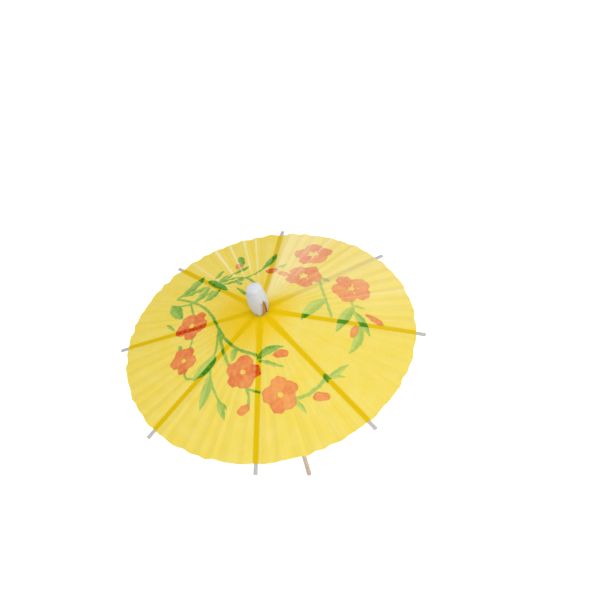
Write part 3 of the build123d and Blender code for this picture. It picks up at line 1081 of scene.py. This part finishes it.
@dataclass
class Cap:
    """White paper wound over the rib ends and pinched shut on top.

    Its loose edge is sprung open in a slit, which shows the brown paper under it.
    """

    base_radius: float = 2.19
    bulge_radius: float = 3.04
    bulge_height: float = 5.5
    shoulder_radius: float = 2.45
    shoulder_height: float = 10.1
    height: float = 12.0
    wall: float = 0.2
    lining_gap: float = 0.02
    lining_wall: float = 0.06
    lining_past: float = 1.0  # how far it goes above the slit
    slit_azimuth: float = -42.0
    slit_height: float = 6.9
    slit_width: float = 1.9
    lip_lift: float = 0.22
    lip_reach: float = 0.7
    edge_step: float = 0.09
    edge_reach: float = 1.2
    collar: float = 2.2  # height of the turned-up hem
    collar_step: float = 0.07
    collar_soft: float = 0.25
    slack: Pair = (0.07, 0.04)
    dent: float = 0.045
    pinch: float = 0.06
    torn: Pair = (0.07, 0.05)
    torn_height: float = 0.2  # of the wavering lower edge
    gap_shadow_spots: Rows = ((-56, 0.1, 0.45), (-112, 0.4, 0.4), (40, 0.2, 0.4))  # painted shadows of gaps at the lower edge: azimuth, height and size
    seam_gap: float = 0.5  # angle left open until the wrap is shaped
    merge: float = 0.004  # points closer than this are one at the pinch
    rows_side: int = 34
    rows_crown: int = 12
    steps_round: int = 128

    def outline(self) -> list[Pair]:
        """Plain outline of the cap.

        Returns:
            Radii and heights from the lower edge up the side and over the crown.
        """
        lower = (self.bulge_radius - self.base_radius, self.bulge_height)
        upper = (self.bulge_radius - self.shoulder_radius, self.shoulder_height - self.bulge_height)
        points = []
        for row in range(self.rows_side + 1):
            height = self.shoulder_height * row / self.rows_side
            narrowing, span = lower if height < self.bulge_height else upper
            off = (height - self.bulge_height) / span
            points.append((self.bulge_radius - narrowing * off**2, height))
        rise = self.height - self.shoulder_height
        for row in range(1, self.rows_crown + 1):
            angle = pi / 2 * row / self.rows_crown
            radius = self.shoulder_radius * cos(angle)
            points.append((radius, self.shoulder_height + rise * sin(angle)))
        return points

    def shape(self, share: float, radius: float, height: float) -> tuple[float, float, float]:
        """Place of one point of the wrap.

        Args:
            share: Way round the wrap from its lifted lip to the lip beneath.
            radius: Radius in the plain outline.
            height: Height in the plain outline.

        Returns:
            Radius, azimuth and height after the paper's slackness, folds and slit.
        """
        open_share = max(0.0, 1 - height / self.slit_height)
        gap = self.slit_width * open_share**0.6 / max(radius, 0.5)
        azimuth = radians(self.slit_azimuth) + gap / 2 + share * (tau - gap)
        round_way = share * tau
        lift = self.lip_lift * open_share * exp(-round_way / self.lip_reach)
        edge = self.edge_step * (max(0.0, 1 - round_way / self.edge_reach) if share < 1 else 1 - open_share)
        body = min(1.0, radius / self.shoulder_radius)
        oval, bent = self.slack
        slack = oval * sin(2 * azimuth + 0.6) + bent * sin(3 * azimuth + 0.5 * height)
        dents = self.dent * sin(5 * azimuth + 1.1 * height) * sin(0.9 * height + 1.0)
        pinch = self.pinch * sin(7 * azimuth) * max(0.0, height / self.height - 0.75) * 4
        hem = -self.collar_step * min(1.0, max(0.0, (self.collar - height) / self.collar_soft))
        if height < self.torn_height:
            coarse, fine = self.torn
            height += coarse * sin(9 * azimuth + 0.4) + fine * sin(23 * azimuth)
        return radius + body * (slack + dents + pinch + edge + lift + hem), azimuth, height

    def browned_and_shaded(self, share: float, azimuth: float, height: float) -> float:
        """How far glue and painted shadow brown the paper.

        Args:
            share: Way round the wrap from its lifted lip to the lip beneath.
            azimuth: Direction round the stick.
            height: Height above the lower edge.

        Returns:
            Zero on clean paper, and up to one on the slit's lips, where glue browns it, and in spots near
            the lower edge, which are painted shadow of gaps.
        """
        most = 0.0
        if height < 0.9 * self.slit_height:
            most = 0.5 * max(0.0, 1 - 16 * min(share, 1 - share))
        for spot, level, size in self.gap_shadow_spots:
            turn = from_nearest(azimuth - radians(spot), tau)
            off = hypot(turn * self.base_radius, height - level)
            most = max(most, min(1.0, 2 * (1 - off / size)))
        return most

    def build(self, finish: Material, brown: Material) -> None:
        """Build the cap and its lining in the space of the cap's CAD node.

        Args:
            finish: Material of the white paper.
            brown: Material of the paper under it.
        """
        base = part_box("cap_wrap")[0].z / MM
        sweep = tau - self.seam_gap
        outline = self.outline()
        made = lathe(outline, self.steps_round, sweep)
        # Glue on the slit's lips, and painted shadow of gaps at the lower edge.
        stain_and_shadow = made.verts.layers.float.new(Mark.STAIN_AND_SHADOW.value)
        for vertex in made.verts:
            turned = atan2(vertex.co.y, vertex.co.x) % tau
            share = 0.0 if turned > sweep + self.seam_gap / 2 else min(turned / sweep, 1.0)
            share = 1.0 if share > 1 - 0.5 / self.steps_round else share
            plain, level = hypot(vertex.co.x, vertex.co.y) / MM, vertex.co.z / MM
            radius, azimuth, height = self.shape(share, plain, level)
            radius = radius if plain > MERGE else 0.0
            vertex[stain_and_shadow] = self.browned_and_shaded(share, azimuth, level)
            vertex.co = Vector((radius * cos(azimuth), radius * sin(azimuth), base + height)) * MM
        bmesh.ops.remove_doubles(made, verts=made.verts, dist=self.merge * MM)
        bmesh.ops.recalc_face_normals(made, faces=made.faces)
        make_piece(made, "cap_paper", [finish], self.wall, "stick", "cap_wrap")
        inset, top = self.wall + self.lining_gap, self.slit_height + self.lining_past
        side = [(r - inset, base + h) for r, h in outline[: self.rows_side] if h < top]
        made = lathe(side, self.steps_round // 2)
        bmesh.ops.recalc_face_normals(made, faces=made.faces)
        make_piece(made, "cap_lining", [brown], self.lining_wall, "stick")


@dataclass
class Linkage:
    """Card ribs, struts and their bound ends, the pick and the ring, which keep their CAD shapes."""

    card: PulpFinish = PulpFinish("grey_board", "#CBC9C9", "#A9A6A6", "#8F8B89", 0.4, 0.5, 0.25)
    kraft: PulpFinish = PulpFinish("glued_kraft", "#A9742C", "#7E4E1C", "#5C3713", 0.5, 0.6, 0.4, 0.377, 0.5)
    core: PulpFinish = PulpFinish("runner_core_paper", "#D9D4CA", "#BDB7AB", "#9C958A", 0.5, 0.6, 0.2, 0.377)

    def build(self) -> None:
        """Dress the CAD nodes of the linkage."""
        strips = [f"{kind}_{n}" for kind in ("rib", "strut", "strut_flap") for n in range(1, RIBS + 1)]
        dressed = {
            self.card: [*strips, "strut_tabs"],
            self.kraft: ["rib_tabs", "cap_core"],
            self.core: ["runner_core"],
            BirchFinish(): ["pick_stick"],
            PlasticFinish(): ["retaining_ring"],
        }
        for finish, names in dressed.items():
            material = finish.material()
            for name in names:
                slots = frame["nodes"][name].data.materials
                slots.clear()
                slots.append(material)
                log.info("%s in %s", name, material.name)


@dataclass
class Studio:
    """Pale table, soft light and a camera where the photograph was taken from."""

    azimuth: float = -75.1
    elevation: float = 47.5
    roll: float = 14.5
    distance: float = 379.6
    aim: tuple[float, float, float] = (11.9, 5.2, 91.8)
    lens: float = 72.0
    sensor: float = 36.0
    nearest: float = 10.0
    table_half: float = 12000.0
    table_gap: float = 0.3
    table_colour: str = "#D4D4D4"
    table_glow: float = 0.7
    light: str = "#FFFFFF"
    sky: float = 0.535
    lit: tuple[float, float, float] = (0.0, 0.0, 80.0)  # where the lamps face

    def camera(self) -> None:
        """Make the camera and look through it."""
        turn, rise = radians(self.azimuth), radians(self.elevation)
        back = Vector((cos(turn) * cos(rise), sin(turn) * cos(rise), sin(rise)))
        lens = bpy.data.cameras.new("camera")
        lens.lens = self.lens
        lens.sensor_width = self.sensor
        lens.clip_start = self.nearest * MM
        camera = link(bpy.data.objects.new("camera", lens))
        level = (-back).to_track_quat("-Z", "Y").to_matrix()
        tilt = Matrix.Rotation(radians(-self.roll), 3, "Z")
        place = Matrix.Translation((Vector(self.aim) + back * self.distance) * MM)
        camera.matrix_world = place @ (level @ tilt).to_4x4()
        bpy.context.scene.camera = camera

    def lamp(self, name: str, place: tuple[float, float, float], size: float, power: float) -> None:
        """Hang a soft square lamp that faces the canopy.

        Args:
            name: What the lamp is for.
            place: Where it hangs.
            size: Length of its side.
            power: Light in watts.
        """
        light = bpy.data.lights.new(name, "AREA")
        light.size = size * MM
        light.energy = power
        lamp = link(bpy.data.objects.new(name, light))
        lamp.location = Vector(place) * MM
        lamp.rotation_mode = "QUATERNION"
        lamp.rotation_quaternion = (Vector(self.lit) - Vector(place)).to_track_quat("-Z", "Y")

    def table(self) -> None:
        """Lay the pale table just under the pick's lower end."""
        material, tree = blank_material("pale_acrylic_table")
        skin = {
            "Base Color": self.table_colour,
            "Roughness": 0.6,
            "Specular IOR Level": 0.1,
            "Emission Color": self.light,
            "Emission Strength": self.table_glow,
        }
        add_node(tree, "OutputMaterial", {"Surface": add_node(tree, "BsdfPrincipled", skin)})
        made = bmesh.new()
        bmesh.ops.create_grid(made, x_segments=2, y_segments=2, size=self.table_half * MM)
        bmesh.ops.translate(made, verts=made.verts, vec=(0, 0, cad_box[0].z - self.table_gap * MM))
        make_piece(made, "table", [material])

    def build(self) -> None:
        """Set up the table, the lights and the camera."""
        self.table()
        world = bpy.data.worlds.new("studio")
        world.use_nodes = True
        sky = world.node_tree.nodes["Background"].inputs
        sky["Color"].default_value = linear(self.light)
        sky["Strength"].default_value = self.sky
        bpy.context.scene.world = world
        bpy.context.scene.view_settings.view_transform = "Standard"
        self.lamp("key", (60, -125, 660), 420, 2.15)
        self.lamp("fill", (560, -140, 165), 400, 0.7)
        self.camera()
        log.info("studio set")


def main() -> None:
    """Build every sub-assembly."""
    logging.basicConfig(level=logging.INFO, format="%(message)s")
    Studio().build()
    Linkage().build()
    Canopy().build()
    # Glue brown, also painted as shadow in gaps at the cap's lower edge.
    stain_and_shadow = "#8A5A24"
    white = PulpFinish("white_wrapping_paper", "#D9DADD", "#C6C7CB", "#B9B5AE", 0.6, 0.5, 0.15, stain_and_shadow=stain_and_shadow)
    kraft = PulpFinish("brown_lining_paper", "#CC9340", "#A87328", "#7A4E1C", 0.5, 0.6, 0.4)
    news = PulpFinish("newsprint", "#BDB8AD", "#A19B90", "#6E6A66", 0.6, 0.8, 0.5, 0.314)
    rolled = PulpFinish("runner_wrapping_paper", "#E2DED6", "#CCC7BC", "#ABA498", 0.6, 0.6, 0.2, 0.314)
    Cap().build(white.material(), kraft.material())
    sleeve_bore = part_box("pick_stick")[1].x / MM + SLEEVE_GAP
    wrap_bore = max(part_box("strut_tabs")[1].xy) / MM + WRAP_GAP
    WoundPaper("spacer_paper", "spacer_sleeve", "stick", "newsprint", sleeve_bore).build(news.material())
    WoundPaper("runner_paper", "runner_wrap", "runner", "runner_paper", wrap_bore).build(rolled.material())


if __name__ == "__main__":
    main()
